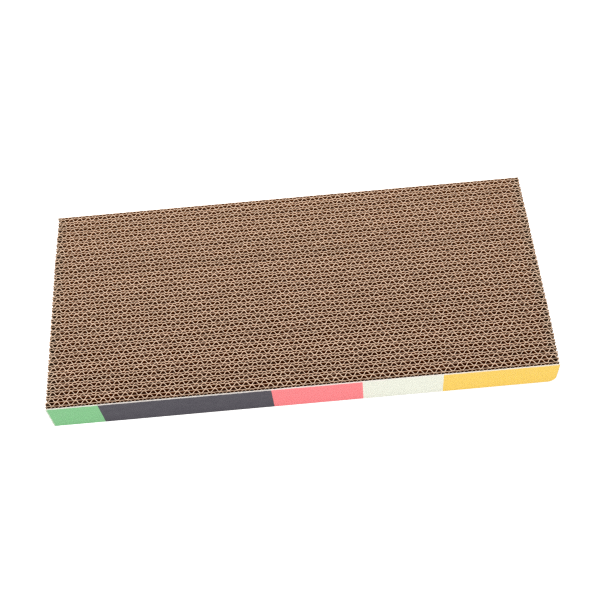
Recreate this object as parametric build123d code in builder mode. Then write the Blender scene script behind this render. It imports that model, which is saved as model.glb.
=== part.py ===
from build123d import *
import math
import os

# Cardboard cat scratcher: a slab of double-wall corrugated board strips that
# stand on edge side by side, glued face to face, with the flutes running
# vertically so that their open ends make the scratching face on top and
# underneath. A printed paper sheet is laminated on each long side.
#
# Frame: X along the strips, Y across the stack (front is -Y), Z up.
# The origin is the middle of the bottom face. Millimetres.

# ---------------------------------------------------------------- dimensions
slab_length = 440.0  # each strip's length, along X
slab_height = 33.0  # each strip's width, standing on edge, along Z
strip_count = 34  # strips in the stack
glue_gap = 0.05  # adhesive film between two strips
sheet_thickness = 0.30  # printed paper laminated on the two long sides

# double-wall board, from its small-flute face to its large-flute face
liner_outer = 0.22
small_flute_gap = 2.05  # between the outer and the middle liner
liner_middle = 0.20
large_flute_gap = 3.21  # between the middle and the inner liner
liner_inner = 0.22
medium_thickness = 0.19  # the fluted paper itself

# the strips come from four sheets of board: the first strip cut from each one, and
# the pitches of its small and large flute
sheets = (
    (1, 6.525, 7.955),
    (3, 6.505, 7.930),
    (13, 6.490, 7.910),
    (25, 6.493, 7.926),
)

# where along X a crest of each flute touches its far liner, strip by strip from the
# front: strips cut one after the other from a sheet keep their flutes nearly in line
small_crests = (
    2.0, 1.0, 0.9, -0.7, -1.0, -1.9, 2.8, 1.3, 1.8, -3.2, -3.1, -2.2,
    -1.6, 3.0, 2.2, 1.4, 0.2, -2.2, -3.2, 2.0, 1.5, 0.0, -1.8, 3.2,
    -1.1, -0.6, -2.1, -2.5, -2.7, 2.1, -1.2, 2.5, 2.5, -0.1,
)
large_crests = (
    -3.1, -0.3, 0.0, -0.3, 0.2, 0.5, -0.7, -2.8, -1.0, 1.9, 3.4, -2.4,
    0.9, 0.6, 0.6, 0.7, 0.3, -1.0, -1.2, -1.4, -0.7, -1.3, -2.1, -2.5,
    -3.1, -3.7, 1.4, -0.2, -1.5, 1.8, -2.4, 1.7, 0.8, -0.5,
)

# adhesive film, short of the strip's edges
glue_length = slab_length - 8.0
glue_height = slab_height - 8.0

# a cut end doesn't leave a wall or a cell thinner than this
least_wall = 0.30

board_thickness = (
    liner_outer + small_flute_gap + liner_middle + large_flute_gap + liner_inner
)
board_step = board_thickness + glue_gap
slab_width = (
    strip_count * board_thickness
    + (strip_count - 1) * glue_gap
    + 2 * sheet_thickness
)
front_of_stack = -slab_width / 2 + sheet_thickness

os.makedirs("parts", exist_ok=True)


def half_base(pitch, gap):
    """Half the base of one triangular cell between two slanted runs of the fluted paper."""
    slanted = medium_thickness * math.hypot(pitch / 2, gap) / gap
    return pitch / 2 - slanted / 2


def cell_centres(pitch, gap, phase):
    """X of the cells that stand on one liner, and of those that hang from the other."""
    reach = slab_length / 2 + half_base(pitch, gap)
    count = int(reach / pitch) + 2
    rows = [
        [phase + (k + shift) * pitch for k in range(-count, count + 1)]
        for shift in (0.0, 0.5)
    ]
    return [[x for x in row if abs(x) < reach - least_wall] for row in rows]


def clean_ends(pitch, gap, phase):
    """True if the strip's two cut ends pass clear of every cell's corners."""
    a = half_base(pitch, gap)
    corners = [
        x + d
        for row in cell_centres(pitch, gap, phase)
        for x in row
        for d in (-a, 0.0, a)
    ]
    return all(abs(abs(x) - slab_length / 2) > least_wall for x in corners)


def flute_phase(pitch, gap, crest):
    """The crest's place, moved as little as the strip's two cut ends need."""
    moves = sorted((0.05 * step for step in range(-30, 31)), key=abs)
    return next(crest + m for m in moves if clean_ends(pitch, gap, crest + m))


# ---------------------------------------------------------------- board strips
# Strip 1 is the front one. It is turned round, so that its small flute faces
# out to the front. All others have their small flute towards the back.
for number in range(1, strip_count + 1):
    near = front_of_stack + (number - 1) * board_step
    small_pitch, large_pitch = [s[1:] for s in sheets if s[0] <= number][-1]
    if number == 1:
        small_from = near + liner_outer
        large_from = small_from + small_flute_gap + liner_middle
        name = "front_strip"
    else:
        large_from = near + liner_inner
        small_from = large_from + large_flute_gap + liner_middle
        name = "back_strip" if number == strip_count else f"core_strip_{number:02d}"

    with BuildPart() as strip:
        with BuildSketch(Plane.XY):
            with Locations((0, near + board_thickness / 2)):
                Rectangle(slab_length, board_thickness)
            for low, gap, pitch, crest in (
                (small_from, small_flute_gap, small_pitch, small_crests[number - 1]),
                (large_from, large_flute_gap, large_pitch, large_crests[number - 1]),
            ):
                a = half_base(pitch, gap)
                tip = gap - medium_thickness
                phase = flute_phase(pitch, gap, crest)
                standing, hanging = cell_centres(pitch, gap, phase)
                with Locations(*[(x, low) for x in standing]):
                    Polygon((-a, 0), (a, 0), (0, tip), align=None, mode=Mode.SUBTRACT)
                with Locations(*[(x, low + gap) for x in hanging]):
                    Polygon((a, 0), (-a, 0), (0, -tip), align=None, mode=Mode.SUBTRACT)
        extrude(amount=slab_height)
    strip.part.label = name
    export_step(strip.part, f"parts/{name}.step", write_pcurves=False)

# ---------------------------------------------------------------- printed sheets
with BuildPart() as front_print_sheet:
    with BuildSketch(Plane.XY):
        with Locations((0, -slab_width / 2 + sheet_thickness / 2)):
            Rectangle(slab_length, sheet_thickness)
    extrude(amount=slab_height)
front_print_sheet.part.label = "front_print_sheet"
export_step(front_print_sheet.part, "parts/front_print_sheet.step")

with BuildPart() as back_print_sheet:
    with BuildSketch(Plane.XY):
        with Locations((0, slab_width / 2 - sheet_thickness / 2)):
            Rectangle(slab_length, sheet_thickness)
    extrude(amount=slab_height)
back_print_sheet.part.label = "back_print_sheet"
export_step(back_print_sheet.part, "parts/back_print_sheet.step")

# ---------------------------------------------------------------- adhesive films
# One film in each joint between two strips, touching both faces.
film_places = [
    (0, front_of_stack + number * board_step - glue_gap / 2)
    for number in range(1, strip_count)
]
with BuildPart() as glue_films:
    with BuildSketch(Plane.XY.offset((slab_height - glue_height) / 2)):
        with Locations(*film_places):
            Rectangle(glue_length, glue_gap)
    extrude(amount=glue_height)
glue_films.part.label = "glue_films"
export_step(glue_films.part, "parts/glue_films.step")
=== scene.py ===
import math

import bpy
import numpy as np
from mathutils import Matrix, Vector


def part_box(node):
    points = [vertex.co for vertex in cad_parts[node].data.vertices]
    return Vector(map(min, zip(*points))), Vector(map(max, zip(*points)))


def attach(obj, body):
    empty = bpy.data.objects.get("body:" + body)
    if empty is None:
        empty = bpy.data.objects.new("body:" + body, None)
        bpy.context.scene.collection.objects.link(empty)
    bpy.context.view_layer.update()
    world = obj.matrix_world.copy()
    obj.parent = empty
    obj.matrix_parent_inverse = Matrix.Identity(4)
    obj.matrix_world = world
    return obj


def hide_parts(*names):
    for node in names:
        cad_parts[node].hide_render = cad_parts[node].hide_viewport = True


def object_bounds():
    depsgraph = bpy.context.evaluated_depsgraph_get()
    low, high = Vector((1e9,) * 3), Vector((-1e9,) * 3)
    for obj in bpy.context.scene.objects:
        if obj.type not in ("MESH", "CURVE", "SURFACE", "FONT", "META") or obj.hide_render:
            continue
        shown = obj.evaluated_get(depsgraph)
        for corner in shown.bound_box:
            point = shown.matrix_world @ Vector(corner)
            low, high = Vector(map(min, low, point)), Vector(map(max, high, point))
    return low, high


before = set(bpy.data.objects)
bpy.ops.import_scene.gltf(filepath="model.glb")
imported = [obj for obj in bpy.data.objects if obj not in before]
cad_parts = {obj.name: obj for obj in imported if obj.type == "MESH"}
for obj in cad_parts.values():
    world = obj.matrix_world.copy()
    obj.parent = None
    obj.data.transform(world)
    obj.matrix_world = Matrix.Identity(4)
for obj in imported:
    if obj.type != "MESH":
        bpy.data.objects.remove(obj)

# Cardboard cat scratcher: 34 strips of double-wall board stand on edge in a
# stack, their flutes upright, and a printed paper covers each long side.
# Lengths below are millimetres in the frame's axes, and meshes are metres.

cad_low, cad_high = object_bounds()
LENGTH = (cad_high.x - cad_low.x) * 1000.0
HEIGHT = (cad_high.z - cad_low.z) * 1000.0
HALF = LENGTH / 2
FACE = cad_high.y * 1000.0  # the printed faces stand at y = -FACE and +FACE

STRIPS = (
    ["front_strip"]
    + [f"core_strip_{n:02d}" for n in range(2, 34)]
    + ["back_strip"]
)
SHEET = 0.30  # printed paper
BOARD = 5.90  # one strip
MIDDLE = 3.63  # the middle liner, from the large-flute face
SMALL_PITCH = 6.5
LARGE_TIP, SMALL_TIP = 3.24, 5.49  # where the cells of a strip end, from its near face

# paper as it shows where it is cut: the fibres swell and fray a little
FACE_LINER, MID_LINER = 0.12, 0.25
MEDIUM = {"small": 0.23, "large": 0.30}
LINER_FLARE, MEDIUM_FLARE = 1.25, 1.20
DRAG = {"small": 2.6, "large": 2.0}  # the blade ran along X and dragged the fluted paper's fibres that way

chance = np.random.default_rng(3402)


# ------------------------------------------------------------------ small helpers
def smooth(t):
    t = np.clip(t, 0.0, 1.0)
    return t * t * (3.0 - 2.0 * t)


def wander(x, step, size, low=-1.0):
    """A slow random wander along X, with a knot every step mm."""
    knots = np.arange(-HALF - 2 * step, HALF + 3 * step, step)
    return np.interp(x, knots, chance.uniform(low, 1.0, len(knots))) * size


# The stack isn't perfectly straight: its rows drift sideways together, and are
# true again at the two long faces.
DRIFT = [
    (
        chance.uniform(0.05, 0.11),
        2 * math.pi / chance.uniform(70, 260),
        2 * math.pi / chance.uniform(60, 190),
        chance.uniform(0, 2 * math.pi),
    )
    for _ in range(6)
]


def drift(x, y):
    hold = np.clip(1.0 - (y / (FACE - SHEET)) ** 2, 0.0, 1.0)
    return hold * (0.12 + sum(a * np.sin(kx * x + ky * y + p) for a, kx, ky, p in DRIFT))


CRUSH = 9.5  # radius of the bumped corner at the bottom right of the front


def bumped(x, y, z):
    """The front right corner has been knocked round at the bottom."""
    fade = 1.0 - smooth((y + FACE) / 21.0)
    low = np.clip((CRUSH - z) / CRUSH, 0.0, 1.0)
    keep = 1.0 - fade * 0.88 * (1.0 - np.sqrt(np.clip(1.0 - low * low, 0.0, 1.0)))
    start = HALF - CRUSH
    return np.where(x > start, start + (x - start) * keep, x)


def lifted(x, y, z):
    """The bottom edge of the front is worn up a little towards that corner."""
    lift = 1.9 * np.clip((x + 150.0) / 360.0, 0.0, 1.0) * (1.0 - smooth((y + FACE) / 23.0))
    return z + lift * (1.0 - smooth(z / 14.0))


# ------------------------------------------------------------------ thin sheets
class Shells:
    """Thin closed sheets of paper that make up one piece."""

    def __init__(self):
        self.co, self.quads, self.slots, self.flat, self.uv, self.tone = ([] for _ in range(6))
        self.count = 0

    def add(self, x, y, z, near, far, slots, rects, tone, drag=1.0):
        """A sheet along the line x, y (n points), with z, near and far as n by k arrays:
        the heights of its rows of points, and how far its two sides stand off the line,
        drag times that along X.
        slots are the materials of its near side, far side and cut edges; rects are the
        map's places for the near side, far side, top, bottom and the two ends."""
        n, k = z.shape
        tx, ty = np.gradient(x), np.gradient(y)
        size = np.hypot(tx, ty)
        nx, ny = -ty / size, tx / size
        co = np.empty((2, n, k, 3))
        for s, off in ((0, -near), (1, far)):
            px = x[:, None] + nx[:, None] * off * drag
            py = y[:, None] + ny[:, None] * off
            py = py + drift(px, py)
            co[s, ..., 0] = np.clip(bumped(px, py, z), -HALF, HALF)
            co[s, ..., 1] = py
            co[s, ..., 2] = lifted(px, py, z)
        at = np.arange(2 * n * k).reshape(2, n, k) + self.count
        self.count += 2 * n * k
        self.co.append(co.reshape(-1, 3))
        self.tone.append(np.broadcast_to(np.asarray(tone, float)[None, :, None], (2, n, k)).ravel())
        run = np.concatenate([[0.0], np.cumsum(np.hypot(np.diff(x), np.diff(y)))])
        u = run / run[-1]
        v = np.array([0.0, 1.0]) if k == 2 else np.linspace(0.0, 1.0, k)
        v = 0.5 * v + 0.5 * (z.mean(0) - z.mean(0)[0]) / (z.mean(0)[-1] - z.mean(0)[0])
        a, b = at
        self._side(a, u, v, rects[0], slots[0], False)
        self._side(b, u, v, rects[1], slots[1], True)
        top = np.stack([a[:-1, -1], a[1:, -1], b[1:, -1], b[:-1, -1]], -1)
        low = np.stack([a[:-1, 0], b[:-1, 0], b[1:, 0], a[1:, 0]], -1)
        self._ribbon(top, u, rects[2], slots[2], (0, 1, 1, 0), (0, 0, 1, 1))
        self._ribbon(low, u, rects[3], slots[2], (0, 0, 1, 1), (0, 1, 1, 0))
        left = np.stack([a[0, :-1], a[0, 1:], b[0, 1:], b[0, :-1]], -1)
        right = np.stack([a[-1, :-1], b[-1, :-1], b[-1, 1:], a[-1, 1:]], -1)
        self._end(left, v, rects[4], slots[2], (0, 1, 1, 0), (0, 0, 1, 1))
        self._end(right, v, rects[5], slots[2], (0, 0, 1, 1), (0, 1, 1, 0))

    def _keep(self, quads, uv, slot, flat):
        self.quads.append(quads.reshape(-1, 4))
        self.uv.append(uv.reshape(-1, 4, 2))
        count = self.quads[-1].shape[0]
        self.slots.append(np.full(count, slot, np.int32))
        self.flat.append(np.full(count, flat))

    def _side(self, g, u, v, rect, slot, far):
        """rect may be a list of rectangles, which then hold equal runs of the side."""
        n = len(u)
        if far:
            quads = np.stack([g[:-1, :-1], g[:-1, 1:], g[1:, 1:], g[1:, :-1]], -1)
            du, dv = (0, 0, 1, 1), (0, 1, 1, 0)
        else:
            quads = np.stack([g[:-1, :-1], g[1:, :-1], g[1:, 1:], g[:-1, 1:]], -1)
            du, dv = (0, 1, 1, 0), (0, 0, 1, 1)
        rects = rect if isinstance(rect, list) else [rect]
        cuts = np.linspace(0, n - 1, len(rects) + 1).astype(int)
        uv = np.empty(quads.shape + (2,))
        for (u0, v0, u1, v1), i0, i1 in zip(rects, cuts[:-1], cuts[1:]):
            s = (u - u[i0]) / (u[i1] - u[i0])
            for c in range(4):
                uv[i0:i1, :, c, 0] = (u0 + (u1 - u0) * s[i0 + du[c] : i1 + du[c]])[:, None]
                uv[i0:i1, :, c, 1] = (v0 + (v1 - v0) * v[dv[c] : len(v) - 1 + dv[c]])[None, :]
        self._keep(quads, uv, slot, False)

    def _ribbon(self, quads, u, rect, slot, du, dv):
        u0, v0, u1, v1 = rect
        uv = np.empty(quads.shape + (2,))
        for c in range(4):
            uv[:, c, 0] = u0 + (u1 - u0) * u[du[c] : len(u) - 1 + du[c]]
            uv[:, c, 1] = v0 + (v1 - v0) * dv[c]
        self._keep(quads, uv, slot, True)

    def _end(self, quads, v, rect, slot, du, dv):
        u0, v0, u1, v1 = rect
        uv = np.empty(quads.shape + (2,))
        for c in range(4):
            uv[:, c, 0] = u0 + (u1 - u0) * du[c]
            uv[:, c, 1] = v0 + (v1 - v0) * v[dv[c] : len(v) - 1 + dv[c]]
        self._keep(quads, uv, slot, True)

    def piece(self, name, materials, node):
        me = bpy.data.meshes.new(name)
        quads = np.concatenate(self.quads)
        co = np.concatenate(self.co) * 0.001
        me.vertices.add(len(co))
        me.vertices.foreach_set("co", co.astype(np.float32).ravel())
        me.loops.add(quads.size)
        me.loops.foreach_set("vertex_index", quads.astype(np.int32).ravel())
        me.polygons.add(len(quads))
        me.polygons.foreach_set("loop_start", np.arange(0, quads.size, 4, dtype=np.int32))
        me.polygons.foreach_set("material_index", np.concatenate(self.slots))
        me.update(calc_edges=True)
        flat = me.attributes.new("sharp_face", "BOOLEAN", "FACE")
        flat.data.foreach_set("value", np.concatenate(self.flat))
        tone = me.attributes.new("tone", "FLOAT", "POINT")
        tone.data.foreach_set("value", np.concatenate(self.tone).astype(np.float32))
        layer = me.uv_layers.new(name="OFBake")
        layer.data.foreach_set("uv", np.concatenate(self.uv).astype(np.float32).ravel())
        for m in materials:
            me.materials.append(m)
        me.validate()
        ob = bpy.data.objects.new(name, me)
        bpy.context.scene.collection.objects.link(ob)
        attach(ob, "root")
        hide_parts(node)
        return ob


# ------------------------------------------------------------------ materials
def linear(r, g, b):
    """A colour given in display values, 0 to 255."""
    def one(c):
        c /= 255.0
        return c / 12.92 if c <= 0.04045 else ((c + 0.055) / 1.055) ** 2.4
    return (one(r), one(g), one(b), 1.0)


class Nodes:
    def __init__(self, name):
        self.material = bpy.data.materials.new(name)
        self.material.use_nodes = True
        self.tree = self.material.node_tree
        self.tree.nodes.clear()
        self.shader = self.new("ShaderNodeBsdfPrincipled")
        out = self.new("ShaderNodeOutputMaterial")
        self.link(self.shader.outputs["BSDF"], out.inputs["Surface"])
        self.place = self.new("ShaderNodeTexCoord").outputs["Object"]

    def new(self, kind, **values):
        node = self.tree.nodes.new(kind)
        for key, value in values.items():
            if key in node.inputs:
                node.inputs[key].default_value = value
            else:
                setattr(node, key, value)
        return node

    def link(self, a, b):
        self.tree.links.new(a, b)

    def noise(self, scale, detail=3.0, rough=0.55, stretch=None):
        where = self.place
        if stretch:
            turn = self.new("ShaderNodeMapping")
            turn.inputs["Scale"].default_value = stretch
            self.link(where, turn.inputs["Vector"])
            where = turn.outputs["Vector"]
        node = self.new("ShaderNodeTexNoise", Scale=scale, Detail=detail, Roughness=rough)
        self.link(where, node.inputs["Vector"])
        return node.outputs["Fac"]

    def ramp(self, value, stops, how="LINEAR"):
        node = self.new("ShaderNodeValToRGB")
        node.color_ramp.interpolation = how
        points = node.color_ramp.elements
        while len(points) < len(stops):
            points.new(0.5)
        for p, (at, colour) in zip(points, stops):
            p.position = at
            p.color = colour
        self.link(value, node.inputs["Fac"])
        return node.outputs["Color"]

    def math(self, how, a, b=None, c=None, clamp=False):
        node = self.new("ShaderNodeMath", operation=how, use_clamp=clamp)
        for i, v in enumerate((a, b, c)):
            if v is None:
                continue
            if isinstance(v, (int, float)):
                node.inputs[i].default_value = v
            else:
                self.link(v, node.inputs[i])
        return node.outputs["Value"]

    def span(self, value, a, b, c, d):
        node = self.new("ShaderNodeMapRange", clamp=True)
        for key, v in (("From Min", a), ("From Max", b), ("To Min", c), ("To Max", d)):
            node.inputs[key].default_value = v
        self.link(value, node.inputs["Value"])
        return node.outputs["Result"]

    def scaled(self, colour, factor):
        node = self.new("ShaderNodeVectorMath", operation="SCALE")
        self.link(colour, node.inputs[0])
        self.link(factor, node.inputs["Scale"])
        return node.outputs["Vector"]

    def mix(self, factor, a, b, how="MIX"):
        node = self.new("ShaderNodeMix", data_type="RGBA", blend_type=how)
        for socket, v in ((node.inputs[0], factor), (node.inputs[6], a), (node.inputs[7], b)):
            if isinstance(v, (int, float, tuple)):
                socket.default_value = v
            else:
                self.link(v, socket)
        return node.outputs[2]

    def attribute(self, name):
        return self.new("ShaderNodeAttribute", attribute_name=name).outputs["Fac"]

    def bump(self, height, strength, distance):
        node = self.new("ShaderNodeBump", Strength=strength, Distance=distance)
        self.link(height, node.inputs["Height"])
        self.link(node.outputs["Normal"], self.shader.inputs["Normal"])

    def colour(self, socket):
        self.link(socket, self.shader.inputs["Base Color"])

    def rough(self, socket):
        self.link(socket, self.shader.inputs["Roughness"])


RAISED_FIBRES_AND_LIGHT = linear(184, 139, 101)  # brown paper with its fibres raised, and painted light where the cut edges and open ends catch it
END_SHADE = linear(122, 98, 72)  # painted shade: a duller, darker brown for the walls near the two ends


def kraft(name, dark, mid, light, fleck, grain, rough, height, inside):
    """Brown recycled paper: cloudy, with pale and dark fibres. Within a millimetre of the cut edges and ends it is
    paler, from raised fibres and painted light; deeper inside the flutes it is painted darker as shade, and near the
    ends it is painted darker and duller as shade."""
    m = Nodes(name)
    cloud = m.noise(170.0, 4.0, 0.6)
    fibre = m.noise(1500.0, 3.0, 0.65, grain)
    both = m.math("MULTIPLY_ADD", fibre, 0.55, m.math("MULTIPLY", cloud, 0.45))
    base = m.ramp(both, [(0.30, dark), (0.50, mid), (0.70, light)])
    spots = m.noise(640.0, 2.0, 0.5, grain)
    base = m.mix(m.span(spots, 0.66, 0.76, 0.0, 0.55), base, fleck)
    if inside:
        where = m.new("ShaderNodeSeparateXYZ")
        m.link(m.place, where.inputs[0])
        high = m.math("SUBTRACT", HEIGHT / 1000.0, where.outputs["Z"])
        side = m.math("SUBTRACT", HALF / 1000.0, m.math("ABSOLUTE", where.outputs["X"]))
        # painted shade: the walls turn darker and duller from 10 mm to 2 mm from each end
        base = m.mix(m.span(side, 0.002, 0.010, 0.0, 1.0), END_SHADE, base)
        deep = m.math("MINIMUM", where.outputs["Z"], high)
        edge = m.math("MINIMUM", deep, side)
        # painted shade: the walls darken from about 1.2 mm below the cut edges, down to 0.84 by 5 mm deep
        base = m.scaled(base, m.span(deep, 0.0012, 0.0050, 1.0, 0.84))
        # paler within a millimetre of the cut edges and ends: raised fibres, and painted light
        base = m.mix(m.span(edge, 0.0001, 0.0009, 0.0, 1.0), RAISED_FIBRES_AND_LIGHT, base)
    m.colour(m.scaled(base, m.math("ADD", m.attribute("tone"), 1.0)))
    m.rough(m.span(fibre, 0.3, 0.7, rough - 0.06, rough + 0.05))
    m.shader.inputs["Specular IOR Level"].default_value = 0.10
    m.bump(fibre, 0.5, height)
    return m.material


liner = kraft(
    "kraft_liner", linear(151, 87, 35), linear(172, 103, 43), linear(190, 122, 55),
    linear(107, 64, 28), (1.0, 1.0, 0.35), 0.88, 0.00006, True,
)
medium = kraft(
    "kraft_medium", linear(145, 82, 32), linear(164, 97, 39), linear(183, 115, 51),
    linear(103, 61, 27), (1.0, 1.0, 0.45), 0.90, 0.00006, True,
)
cut = kraft(
    "kraft_cut_edge", linear(172, 147, 125), linear(196, 170, 147), linear(215, 191, 169),
    linear(150, 121, 97), (1.0, 1.0, 1.0), 0.95, 0.00010, False,
)

# blocks of the print, from the left as each face is looked at: where each one starts
# along the face, and its colour
BLOCKS = (
    (-220.0, linear(119, 184, 126)),
    (-175.00, linear(59, 55, 65)),
    (-26.70, linear(236, 120, 124)),
    (51.15, linear(222, 224, 209)),
    (120.45, linear(235, 195, 81)),
)
WHITE = linear(232, 224, 217)


def print_paper(name, way):
    """Coated paper printed in plain blocks, with the ink rubbed off along its cut edges."""
    m = Nodes(name)
    where = m.new("ShaderNodeSeparateXYZ")
    m.link(m.place, where.inputs[0])
    along = m.math("MULTIPLY", where.outputs["X"], 1000.0 * way)
    z = m.math("MULTIPLY", where.outputs["Z"], 1000.0)
    # the print lies a little askew on its side
    along = m.math("MULTIPLY_ADD", m.math("SUBTRACT", z, HEIGHT / 2), 0.022, along)
    edge = m.math("SUBTRACT", m.noise(900.0, 2.0), 0.5)
    along = m.math("MULTIPLY_ADD", edge, 0.22, along)
    ink = BLOCKS[0][1]
    for start, colour in BLOCKS[1:]:
        ink = m.mix(m.span(along, start - 0.07, start + 0.07, 0.0, 1.0), ink, colour)
    mottle = m.noise(120.0, 4.0, 0.6)
    grain = m.noise(2600.0, 2.0, 0.6)
    shade = m.math("ADD", m.span(mottle, 0.3, 0.7, -0.014, 0.014), m.span(grain, 0.3, 0.7, -0.005, 0.005))
    ink = m.scaled(ink, m.math("ADD", shade, 1.0))
    # distance to the nearest cut edge, in mm
    rim =m.math("MINIMUM", m.math("ADD", z, 1.10), m.math("SUBTRACT", HEIGHT - 0.70, z))
    side = m.math("SUBTRACT", HALF, m.math("ABSOLUTE", m.math("MULTIPLY", where.outputs["X"], 1000.0)))
    rim = m.math("MINIMUM", rim, side)
    chips = m.math("MULTIPLY_ADD", m.noise(420.0, 4.0, 0.7), 1.4, 0.10)
    worn = m.span(m.math("SUBTRACT", chips, rim), -0.50, 0.20, 0.0, 0.72)
    m.colour(m.mix(worn, ink, WHITE))
    m.rough(m.math("ADD", m.span(mottle, 0.3, 0.7, 0.46, 0.58), m.math("MULTIPLY", worn, 0.25)))
    m.shader.inputs["Specular IOR Level"].default_value = 0.18
    m.bump(m.math("ADD", m.math("MULTIPLY", grain, 0.4), m.math("MULTIPLY", worn, -0.6)), 0.14, 0.00002)
    return m.material


def plain_paper(name):
    m = Nodes(name)
    fibre = m.noise(1900.0, 3.0, 0.6)
    cloud = m.noise(200.0, 3.0, 0.6)
    both = m.math("MULTIPLY_ADD", fibre, 0.6, m.math("MULTIPLY", cloud, 0.4))
    m.colour(m.ramp(both, [(0.3, linear(214, 207, 196)), (0.5, linear(236, 231, 222)), (0.7, linear(247, 244, 238))]))
    m.rough(m.span(fibre, 0.3, 0.7, 0.82, 0.92))
    m.shader.inputs["Specular IOR Level"].default_value = 0.25
    m.bump(fibre, 0.4, 0.00005)
    return m.material


def dried_glue(name):
    m = Nodes(name)
    cloud = m.noise(90.0, 4.0, 0.6)
    drops = m.noise(700.0, 2.0, 0.5)
    m.colour(m.ramp(cloud, [(0.3, linear(206, 192, 160)), (0.6, linear(228, 217, 190)), (0.8, linear(236, 228, 206))]))
    m.rough(m.span(drops, 0.3, 0.7, 0.36, 0.58))
    m.shader.inputs["Specular IOR Level"].default_value = 0.45
    m.bump(drops, 0.4, 0.00005)
    return m.material


front_print, back_print = print_paper("front_print", 1.0), print_paper("back_print", -1.0)
sheet_paper = plain_paper("sheet_paper")
glue = dried_glue("dried_glue")


# ------------------------------------------------------------------ board strips
def crests(node, tip):
    """The pitch of this strip's flute, and where along X one of its crests touches its far
    liner, from the tips of the node's cells."""
    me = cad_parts[node].data
    co = np.empty(len(me.vertices) * 3, np.float32)
    me.vertices.foreach_get("co", co)
    co = co.reshape(-1, 3).astype(float) * 1000.0
    x = np.unique(np.round(co[np.abs(co[:, 1] - tip) < 0.004, 0], 2))
    pitch = (x[-1] - x[0]) / round((x[-1] - x[0]) / np.median(np.diff(x)))
    return pitch, float(np.angle(np.exp(2j * np.pi * x / pitch).mean()) / (2 * np.pi) * pitch)


STEPS = np.array([0.0, 0.16, 0.30, 0.43, 0.57, 0.70, 0.84])  # places in half a wave


def flute(kind, pitch, at, middle, reach, left, right):
    """The line of a fluted paper between two liners: its waves lean and wander a little."""
    halves = np.arange(-int(LENGTH / pitch) - 6, int(LENGTH / pitch) + 6)
    turn = (halves[:, None] + STEPS[None, :]).ravel() * math.pi
    flat = 0.07 if kind == "small" else 0.11
    wave = (np.cos(turn) - flat * np.cos(3 * turn)) / (1.0 - flat)  # steep flanks, flat crests
    x = at + pitch * turn / (2 * math.pi)
    x = x + wander(x, 37.0, 0.18) + wander(x, pitch * 0.83, 0.13)
    x = x + wander(x, 24.0, 0.25) * wave
    y = middle + reach * wave * (1.0 - wander(x, pitch * 0.71, 0.09, 0.0))
    inside = (x > left + 0.04) & (x < right - 0.04)
    ends = np.array([left, right])
    y = np.concatenate([np.interp(ends[:1], x, y), y[inside], np.interp(ends[1:], x, y)])
    return np.concatenate([ends[:1], x[inside], ends[1:]]), y


def rows(x, levels, drop, rise):
    """Heights of a sheet's rows of points: its cut edges are a little uneven."""
    z = np.repeat(np.asarray(levels, float)[None, :], len(x), 0)
    z = z - drop[:, None] * smooth((z - HEIGHT + 4.0) / 4.0)
    return z + rise[:, None] * (1.0 - smooth(z / 4.0))


def spread(n, levels, half, flare, rough):
    """Half the thickness of a sheet at each of its points: its cut edges flare and fray."""
    levels = np.asarray(levels, float)
    near_cut = np.minimum(levels, HEIGHT - levels)
    grow = 1.0 + (flare - 1.0) * np.clip(1.0 - near_cut / 0.6, 0.0, 1.0)
    fray = 1.0 + chance.uniform(-rough, rough, n)[:, None] * np.clip(1.0 - near_cut / 0.6, 0.0, 1.0)[None, :]
    return half * grow[None, :] * fray


PX = 1.0 / 1024.0


def strip_rects(row):
    """The map's places for one of a strip's five papers: unrolled sides, cut edges and ends."""
    def wall(i):
        return (2 * PX, (3 + 83 * i) * PX, 1022 * PX, (83 + 83 * i) * PX)

    def ribbon(i):
        return (2 * PX, (836 + 11 * i) * PX, 1022 * PX, (844 + 11 * i) * PX)

    def end(i):
        return ((6 + 16 * i) * PX, 950 * PX, (14 + 16 * i) * PX, 1018 * PX)

    return [f(2 * row + i) for f in (wall, ribbon, end) for i in (0, 1)]


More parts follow.
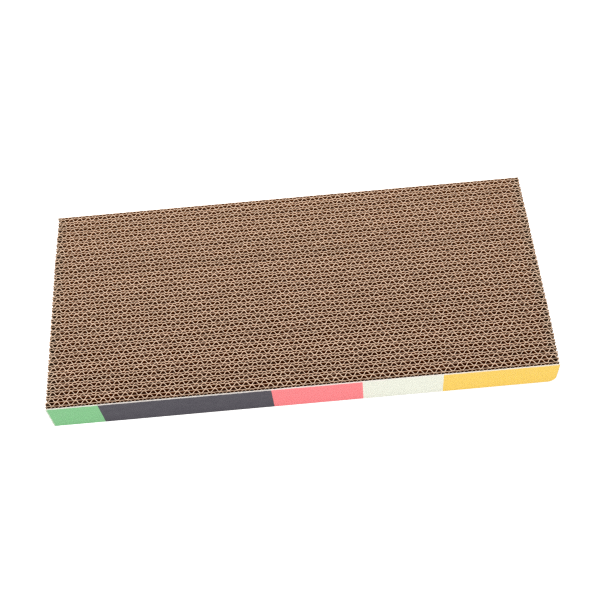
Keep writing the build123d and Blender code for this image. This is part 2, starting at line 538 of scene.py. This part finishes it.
for number, name in enumerate(STRIPS, 1):
    low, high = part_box(name)
    face = low.y * 1000.0
    levels = [0.0, 0.6, HEIGHT - 0.6, HEIGHT]
    if number <= 4:
        levels = [0.0, 0.6, 1.5, 2.6, 4.0, 5.5, 7.5, 9.5, HEIGHT - 0.6, HEIGHT]
    # the strips aren't cut to quite one length
    left = -HALF + 0.85 * float(smooth((number - 24) / 10.0)) + chance.uniform(0.0, 0.12)
    right = HALF - 1.25 * math.exp(-(number - 1) / 5.0) - chance.uniform(0.0, 0.12)
    shells = Shells()
    strip_tone = chance.normal(0.0, 0.025)

    if number == 1:
        mid = face + BOARD - MIDDLE
        tips = (face + 2.08, face + 5.49)
        gaps = ((face + FACE_LINER, mid - MID_LINER / 2, "small"), (mid + MID_LINER / 2, face + BOARD - FACE_LINER, "large"))
    else:
        mid = face + MIDDLE
        tips = (face + LARGE_TIP, face + SMALL_TIP)
        gaps = ((face + FACE_LINER, mid - MID_LINER / 2, "large"), (mid + MID_LINER / 2, face + BOARD - FACE_LINER, "small"))

    for row, (y, half, sides) in enumerate((
        (face + FACE_LINER / 2, FACE_LINER / 2, (1.0, 2.0)),
        (mid, MID_LINER / 2, (LINER_FLARE, LINER_FLARE)),
        (face + BOARD - FACE_LINER / 2, FACE_LINER / 2, (1.0, 1.0)),
    )):
        x = np.linspace(left + chance.uniform(0.0, 0.12), right - chance.uniform(0.0, 0.12), 181)
        n = len(x)
        drop = 0.02 + wander(x, 6.0, 0.10, 0.0) + wander(x, 55.0, 0.10, 0.0)
        if number == 1 and row == 0:
            drop = drop + 0.35  # the blade left the print's edge a little higher
        rise = wander(x, 9.0, 0.06, 0.0)
        tone = strip_tone + chance.normal(0.0, 0.02) + wander(x, 30.0, 0.03) + wander(x, 4.9, 0.07)
        if number == 1 and row == 0:
            tone = tone - 0.62  # painted shade, and a stain from the print's adhesive: this liner is much darker
        shells.add(
            x, np.full(n, y), rows(x, levels, drop, rise),
            spread(n, levels, half, sides[0], 0.10 * (sides[0] > 1)),
            spread(n, levels, half, sides[1], 0.10 * (sides[1] > 1)),
            # the front strip's first liner keeps its darkened liner paper on the cut edges too: painted shade and
            # adhesive stain
            (0, 0, 0 if number == 1 and row == 0 else 2), strip_rects(row), tone,
        )
    for row, ((a, b, kind), tip) in enumerate(zip(gaps, tips), 3):
        reach = (b - a) / 2 - MEDIUM[kind] / 2 + 0.02
        x, y = flute(
            kind, *crests(name, tip), (a + b) / 2, reach,
            left + chance.uniform(0.0, 0.22), right - chance.uniform(0.0, 0.22),
        )
        n = len(x)
        drop = 0.05 + wander(x, 5.0, 0.14, 0.0) + wander(x, 40.0, 0.14, 0.0)
        if number == 1 and kind == "small":
            drop = drop + 0.35
        rise = 0.02 + wander(x, 7.0, 0.10, 0.0)
        tone = strip_tone + chance.normal(0.0, 0.025) + wander(x, 25.0, 0.04) + wander(x, 2.6, 0.09)
        # painted shade, and a stain from the print's adhesive: the front strip's small flute is darker
        if number == 1 and kind == "small":
            tone = tone - 0.38
        shells.add(
            x, y, rows(x, levels, drop, rise),
            spread(n, levels, MEDIUM[kind] / 2, MEDIUM_FLARE, 0.26),
            spread(n, levels, MEDIUM[kind] / 2, MEDIUM_FLARE, 0.26),
            (1, 1, 2), strip_rects(row), tone,
            1.0 + (DRAG[kind] - 1.0) * np.clip(1.0 - np.minimum(levels, HEIGHT - np.asarray(levels)) / 0.6, 0.0, 1.0),
        )
    shells.piece(name + "_board", (liner, medium, cut), name)


# ------------------------------------------------------------------ printed sheets
def printed_sheet(node, material, way):
    """The paper on one long side. The small flute behind it shows faintly through."""
    x = np.linspace(-HALF + 0.02, HALF - (1.10 if way < 0 else 0.20), 661)
    n = len(x)
    levels = np.array([0.0, 0.12, 0.35, 0.8, 1.5, 2.6, 4.0, 5.5, 7.5, 9.5, 13.0, 17.0, 21.0, 25.0, 29.0, 31.5, 32.2, 32.65, 32.88, 33.0])
    k = len(levels)
    waves = 0.5 + 0.5 * np.cos(2 * np.pi * x / SMALL_PITCH + wander(x, 60.0, 0.8))
    inset = 0.035 * waves[:, None] * np.ones(k)[None, :]
    dent = wander(x, 46.0, 0.03, 0.0)[:, None] * np.sin(np.pi * levels / HEIGHT)[None, :]
    near_cut = np.minimum(levels, HEIGHT - levels)
    turned = 0.09 * np.clip(1.0 - near_cut / 0.35, 0.0, 1.0) ** 2
    outer = SHEET / 2 - inset - dent - turned[None, :]
    outer = outer - wander(x, 4.0, 0.02, 0.0)[:, None] * np.clip(1.0 - near_cut / 0.35, 0.0, 1.0)[None, :]
    inner = np.full((n, k), SHEET / 2)
    drop = wander(x, 11.0, 0.06, 0.0) + wander(x, 90.0, 0.05, 0.0)
    rise = wander(x, 13.0, 0.04, 0.0)
    z = rows(x, levels, drop, rise)
    y = np.full(n, way * (FACE - SHEET / 2))
    bands = [(2 * PX, (4 + 205 * i) * PX, 1022 * PX, (202 + 205 * i) * PX) for i in range(4)]
    inside = (2 * PX, 826 * PX, 1022 * PX, 900 * PX)
    rects = [
        bands, inside,
        (2 * PX, 906 * PX, 1022 * PX, 922 * PX), (2 * PX, 928 * PX, 1022 * PX, 944 * PX),
        (6 * PX, 950 * PX, 22 * PX, 1018 * PX), (30 * PX, 950 * PX, 46 * PX, 1018 * PX),
    ]
    shells = Shells()
    if way < 0:
        shells.add(x, y, z, outer, inner, (0, 1, 1), rects, np.zeros(n))
    else:
        rects[0], rects[1] = rects[1], rects[0]
        shells.add(x, y, z, inner, outer, (1, 0, 1), rects, np.zeros(n))
    return shells.piece(node + "_paper", (material, sheet_paper), node)


printed_sheet("front_print_sheet", front_print, -1.0)
printed_sheet("back_print_sheet", back_print, 1.0)

# ------------------------------------------------------------------ glue in the joints
shells = Shells()
for i, name in enumerate(STRIPS[:-1]):
    gap = (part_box(name)[1].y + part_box(STRIPS[i + 1])[0].y) * 500.0
    x = np.linspace(-216.0 + chance.uniform(0, 3), 216.0 - chance.uniform(0, 3), 55)
    n = len(x)
    z = np.stack([
        4.0 + wander(x, 14.0, 1.6, 0.0), 12.0 + 0.0 * x, 21.0 + 0.0 * x, 29.0 - wander(x, 14.0, 1.6, 0.0),
    ], 1)
    thin = np.repeat(np.array([[0.012, 0.021, 0.021, 0.012]]), n, 0)
    v0 = (6 + 30 * i) * PX
    rects = [
        (2 * PX, v0, 500 * PX, v0 + 20 * PX), (512 * PX, v0, 1010 * PX, v0 + 20 * PX),
        (2 * PX, v0 + 23 * PX, 500 * PX, v0 + 25 * PX), (512 * PX, v0 + 23 * PX, 1010 * PX, v0 + 25 * PX),
        (1012 * PX, v0, 1014 * PX, v0 + 20 * PX), (1018 * PX, v0, 1020 * PX, v0 + 20 * PX),
    ]
    shells.add(x, np.full(n, gap), z, thin, thin, (0, 0, 0), rects, np.zeros(n))
shells.piece("glue_films_dried", (glue,), "glue_films")

# ------------------------------------------------------------------ floor, light and camera
floor_mesh = bpy.data.meshes.new("floor")
floor_mesh.from_pydata([(-6, -6, 0), (6, -6, 0), (6, 6, 0), (-6, 6, 0)], [], [(0, 1, 2, 3)])
floor = bpy.data.objects.new("floor", floor_mesh)
bpy.context.scene.collection.objects.link(floor)
m = Nodes("floor_white")
m.shader.inputs["Base Color"].default_value = (0.55, 0.55, 0.55, 1.0)
m.shader.inputs["Roughness"].default_value = 0.9
m.shader.inputs["Specular IOR Level"].default_value = 0.1
m.shader.inputs["Emission Color"].default_value = (1.0, 1.0, 1.0, 1.0)
where = m.new("ShaderNodeSeparateXYZ")
m.link(m.place, where.inputs[0])
# painted shadow: beside the slab's two ends the floor's glow falls to 0.40 within 11 mm of each end
past_end = m.math("SUBTRACT", m.math("ABSOLUTE", where.outputs["X"]), HALF / 1000.0)
past_side = m.math("SUBTRACT", m.math("ABSOLUTE", where.outputs["Y"]), FACE / 1000.0 - 0.012)
painted_shadow_fade = m.math("MAXIMUM", m.span(past_end, 0.001, 0.011, 0.0, 1.0), m.span(past_side, 0.0, 0.012, 0.0, 1.0))
# painted shade: under the slab the floor's glow drops to 0.05
past_face = m.math("SUBTRACT", m.math("ABSOLUTE", where.outputs["Y"]), FACE / 1000.0)
painted_shade_under = m.span(m.math("MAXIMUM", past_end, past_face), -0.020, -0.002, 0.05, 1.0)
m.link(m.math("MULTIPLY", m.span(painted_shadow_fade, 0.0, 1.0, 0.40, 0.94), painted_shade_under), m.shader.inputs["Emission Strength"])
m.material.cycles.emission_sampling = "NONE"
floor_mesh.materials.append(m.material)

# a white studio: bright round the horizon, dimmer above, with a softbox overhead
world = bpy.data.worlds.new("studio")
bpy.context.scene.world = world
world.use_nodes = True
world.cycles.sampling_method = "NONE"
tree = world.node_tree
way = tree.nodes.new("ShaderNodeTexCoord")
up = tree.nodes.new("ShaderNodeSeparateXYZ")
fall = tree.nodes.new("ShaderNodeMapRange")
fall.interpolation_type = "SMOOTHSTEP"
for key, value in (("From Min", 0.24), ("From Max", 0.42), ("To Min", 1.05), ("To Max", 0.25)):
    fall.inputs[key].default_value = value
sky = tree.nodes["Background"]
sky.inputs["Color"].default_value = (1.0, 1.0, 1.0, 1.0)
tree.links.new(way.outputs["Generated"], up.inputs[0])
tree.links.new(up.outputs["Z"], fall.inputs["Value"])
tree.links.new(fall.outputs["Result"], sky.inputs["Strength"])


def softbox(name, at, size, watts):
    """A lamp that points straight down."""
    data = bpy.data.lights.new(name, "AREA")
    data.shape = "RECTANGLE"
    data.size, data.size_y = size
    data.energy = watts
    lamp = bpy.data.objects.new(name, data)
    bpy.context.scene.collection.objects.link(lamp)
    lamp.location = at
    return lamp


softbox("overhead_softbox", (-0.05, 0.06, 1.30), (0.9, 0.6), 22.0)

camera = bpy.data.objects.new("camera", bpy.data.cameras.new("camera"))
bpy.context.scene.collection.objects.link(camera)
camera.data.lens = 62.2527
camera.data.sensor_width = 36.0
camera.data.clip_start, camera.data.clip_end = 0.01, 50.0
camera.location = (0.012913, -0.512794, 0.821312)
camera.rotation_euler = [math.radians(a) for a in (32.0194, 3.0673, -4.0606)]
bpy.context.scene.camera = camera
bpy.context.scene.view_settings.view_transform = "Standard"
bpy.context.scene.cycles.use_denoising = False
bpy.context.scene.cycles.filter_width = 1.3
